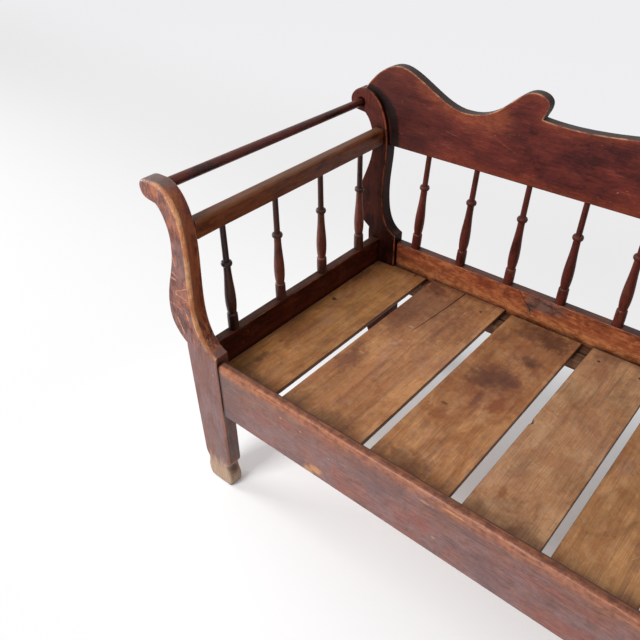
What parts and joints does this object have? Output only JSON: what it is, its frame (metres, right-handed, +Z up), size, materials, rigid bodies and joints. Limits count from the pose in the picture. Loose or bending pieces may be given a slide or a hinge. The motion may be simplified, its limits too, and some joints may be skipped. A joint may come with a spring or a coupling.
{
  "type": "pull-out bench bed",
  "caption": "Antique wooden bench with scrolled posts, turned spindles and a shaped crest, whose front rail and alternate seat slats slide out as a bed.",
  "frame": {"origin": "on the floor, under the middle of the bench", "axes": "+X along the bench to the right as seen from the front, +Y from front to back, +Z up"},
  "size_m": [1.867, 0.711, 0.904],
  "materials": {
    "stained_wood": "worn dark red-brown stain, satin",
    "crest_wood": "worn red-brown stain, satin",
    "bare_slat_wood": "bare aged softwood, matt",
    "inner_wood": "bare aged softwood, matt",
    "iron": "dull, a little rusty"
  },
  "bodies": {
    "frame": {"front_post_left": "stained_wood", "front_post_right": "stained_wood", "back_post_left": "stained_wood", "back_post_right": "stained_wood", "crest_rail": "crest_wood", "back_seat_rail": "stained_wood", "side_rail_left": "stained_wood", "side_rail_right": "stained_wood", "arm_rail_left": "stained_wood", "arm_rail_right": "stained_wood", "scroll_rod_left": "stained_wood", "scroll_rod_right": "stained_wood", "arm_spindle_left_1": "stained_wood", "arm_spindle_left_2": "stained_wood", "arm_spindle_left_3": "stained_wood", "arm_spindle_left_4": "stained_wood", "arm_spindle_right_1": "stained_wood", "arm_spindle_right_2": "stained_wood", "arm_spindle_right_3": "stained_wood", "arm_spindle_right_4": "stained_wood", "back_spindle_1": "stained_wood", "back_spindle_2": "stained_wood", "back_spindle_3": "stained_wood", "back_spindle_4": "stained_wood", "back_spindle_5": "stained_wood", "back_spindle_6": "stained_wood", "back_spindle_7": "stained_wood", "back_spindle_8": "stained_wood", "back_spindle_9": "stained_wood", "back_spindle_10": "stained_wood", "back_spindle_11": "stained_wood", "back_ledger": "inner_wood", "front_stretcher": "inner_wood", "fixed_slat_1": "bare_slat_wood", "fixed_slat_2": "bare_slat_wood", "fixed_slat_3": "bare_slat_wood", "fixed_slat_4": "bare_slat_wood", "fixed_slat_5": "bare_slat_wood", "fixed_slat_nails": "iron", "crest_nails": "iron", "ledger_nails": "iron"},
    "sliding_section": {"front_rail": "stained_wood", "front_cleat": "inner_wood", "rear_batten": "inner_wood", "sliding_slat_1": "bare_slat_wood", "sliding_slat_2": "bare_slat_wood", "sliding_slat_3": "bare_slat_wood", "sliding_slat_4": "bare_slat_wood", "sliding_slat_nails": "iron", "cleat_nails": "iron", "pivot_screw_left": "iron", "pivot_screw_right": "iron"},
    "prop_leg_left": {"prop_leg_left": "inner_wood"},
    "prop_leg_right": {"prop_leg_right": "inner_wood"}
  },
  "joints": [
    {"name": "seat_slide", "type": "slide", "parent": "frame", "child": "sliding_section", "axis": [0, -1, 0], "range_m": [0, 0.548]},
    {"name": "prop_leg_left_pivot", "type": "hinge", "parent": "sliding_section", "child": "prop_leg_left", "pos_m": [-0.6565, -0.3225, 0.283], "axis": [0, 1, 0], "range_deg": [0, 90]},
    {"name": "prop_leg_right_pivot", "type": "hinge", "parent": "sliding_section", "child": "prop_leg_right", "pos_m": [0.6565, -0.3225, 0.283], "axis": [0, -1, 0], "range_deg": [0, 90]}
  ]
}
